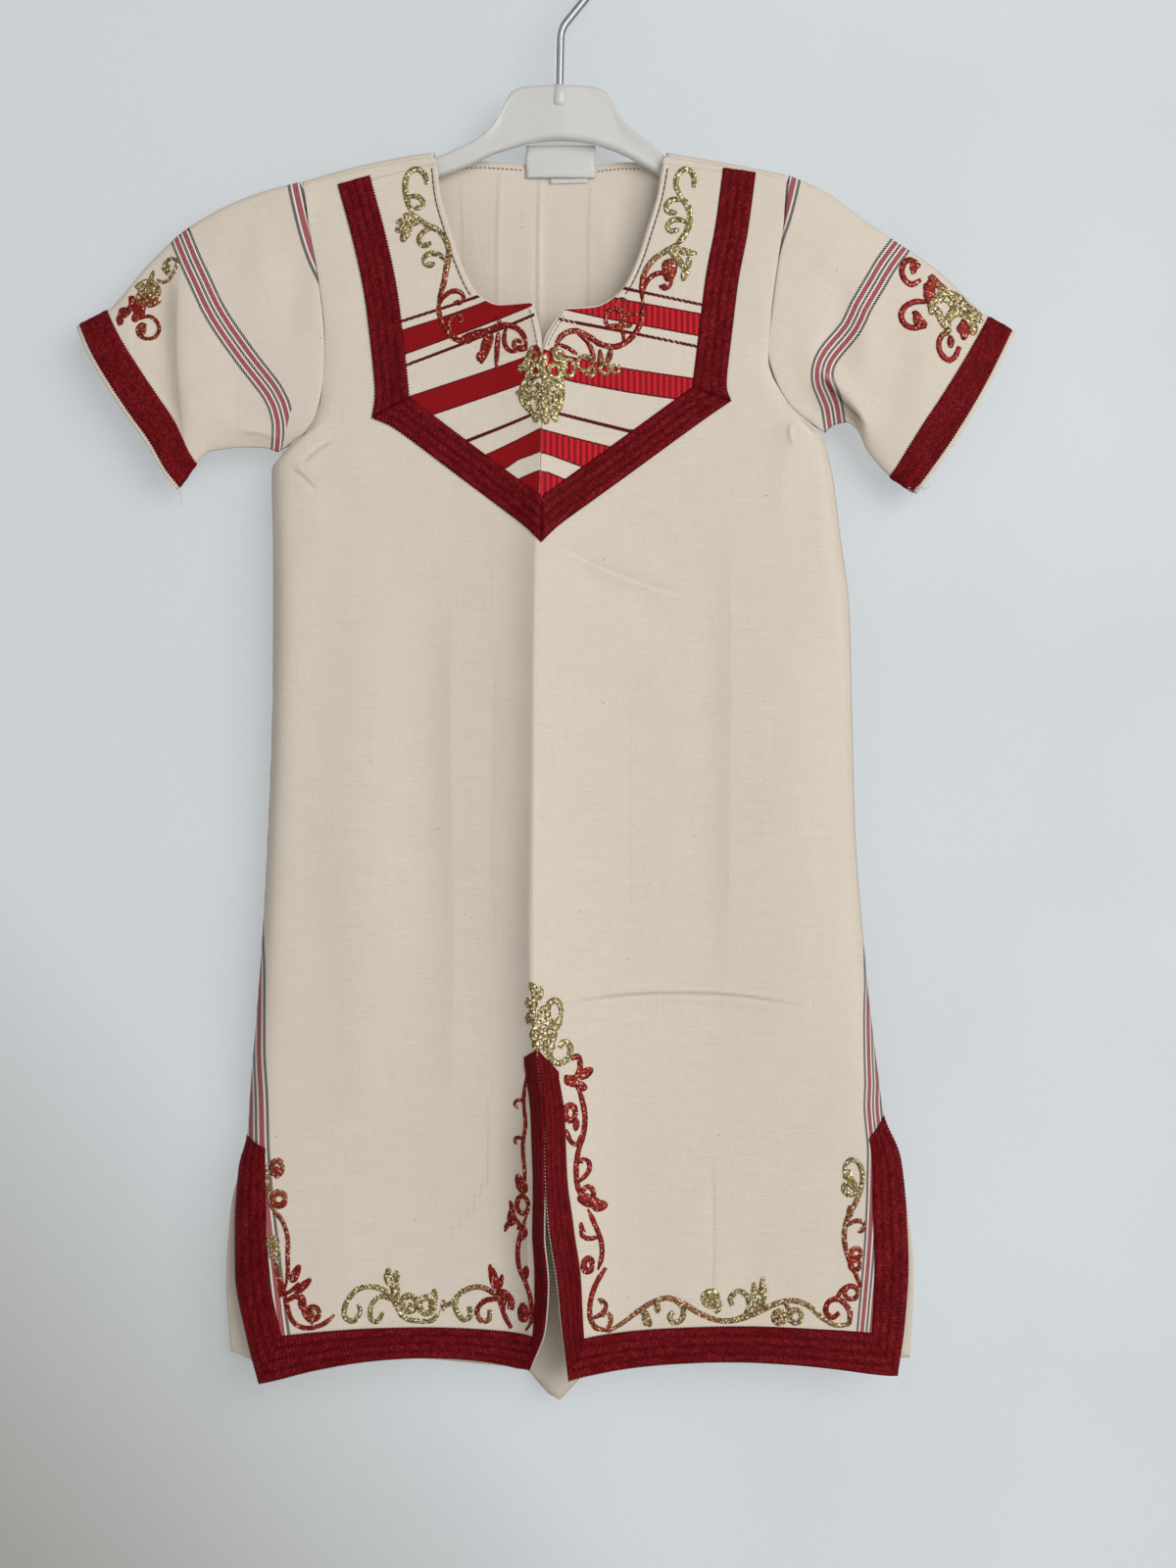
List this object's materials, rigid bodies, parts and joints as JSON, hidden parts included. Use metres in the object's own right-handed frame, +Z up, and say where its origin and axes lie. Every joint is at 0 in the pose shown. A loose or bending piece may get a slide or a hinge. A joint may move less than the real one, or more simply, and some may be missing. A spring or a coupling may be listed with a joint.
{
  "type": "child's embroidered cotton tunic dress on a clothes hanger",
  "caption": "Straight short-sleeved cotton tunic dress with dark red braid, a striped bib and painted scrolls, hung flat on a plastic hanger with a wire hook.",
  "frame": {"origin": "inner top of the hook's bend, where a rail carries the hanger", "axes": "+Z up, +X to the viewer's right, the front of the dress faces -Y"},
  "size_m": [0.4805, 0.0416, 0.7518],
  "materials": {
    "cotton": "unbleached cream cotton, plain weave with slubs",
    "bib_cloth": "cream cotton with woven red satin stripes",
    "braid": "dark red ribbed braid with picot edges",
    "label": "plain woven label, bare",
    "hanger_plastic": "milky translucent plastic, satin",
    "wire": "bright drawn wire"
  },
  "bodies": {
    "root": {"front_panel": "cotton", "back_panel": "cotton", "sleeve_left": "cotton", "sleeve_right": "cotton", "bib_left": "bib_cloth", "bib_right": "bib_cloth", "bib_braid": "braid", "cuff_braid_left": "braid", "cuff_braid_right": "braid", "hem_braid_left": "braid", "hem_braid_right": "braid", "neck_label": "label", "hanger_body": "hanger_plastic", "hook": "wire"}
  },
  "joints": []
}
